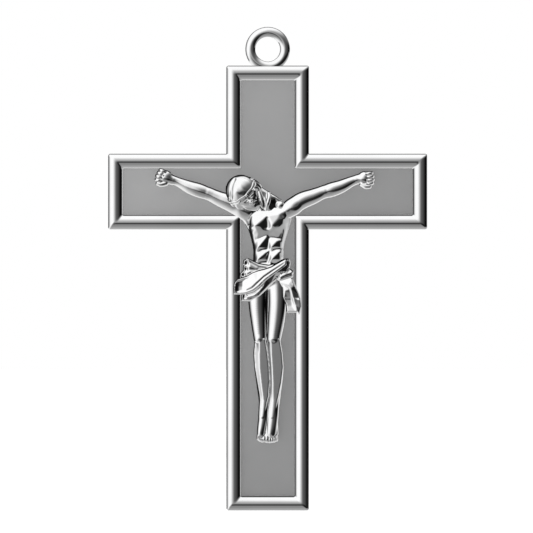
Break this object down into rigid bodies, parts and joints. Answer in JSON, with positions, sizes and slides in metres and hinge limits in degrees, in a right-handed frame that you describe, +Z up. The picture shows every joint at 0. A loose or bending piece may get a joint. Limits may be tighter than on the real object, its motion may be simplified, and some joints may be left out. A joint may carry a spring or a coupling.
{
  "type": "pectoral crucifix",
  "caption": "Hanging crucifix: a flat cross with a raised half-round rim, a recessed satin field, a cast corpus in relief and a fixed round eye at the top.",
  "frame": {"origin": "centre of the suspension ring's hole, in the middle plane of its wire", "axes": "+Z up the shaft, +X to the viewer's right, +Y out of the back; the figure faces -Y"},
  "size_m": [0.0716, 0.0085, 0.1087],
  "materials": {
    "polished_silver": "mirror polished",
    "cast_silver": "cast, then bright polished",
    "satin_silver": "fine satin, matt",
    "plate_silver": "line brushed along the shaft",
    "peg_silver": "riveted and filed flush"
  },
  "bodies": {
    "root": {"suspension_ring": "polished_silver", "back_plate": "plate_silver", "field_panel": "satin_silver", "rim_head": "polished_silver", "rim_upper_left": "polished_silver", "rim_left_arm_top": "polished_silver", "rim_left_arm_end": "polished_silver", "rim_left_arm_underside": "polished_silver", "rim_shaft_left": "polished_silver", "rim_foot": "polished_silver", "rim_shaft_right": "polished_silver", "rim_right_arm_underside": "polished_silver", "rim_right_arm_end": "polished_silver", "rim_right_arm_top": "polished_silver", "rim_upper_right": "polished_silver", "corpus_body": "cast_silver", "corpus_head": "cast_silver", "corpus_arm_left": "cast_silver", "corpus_arm_right": "cast_silver", "loincloth_wrap": "cast_silver", "loincloth_end": "cast_silver", "crown_of_thorns": "cast_silver", "left_hand_peg": "peg_silver", "right_hand_peg": "peg_silver", "hip_peg": "peg_silver", "foot_peg": "peg_silver"}
  },
  "joints": []
}
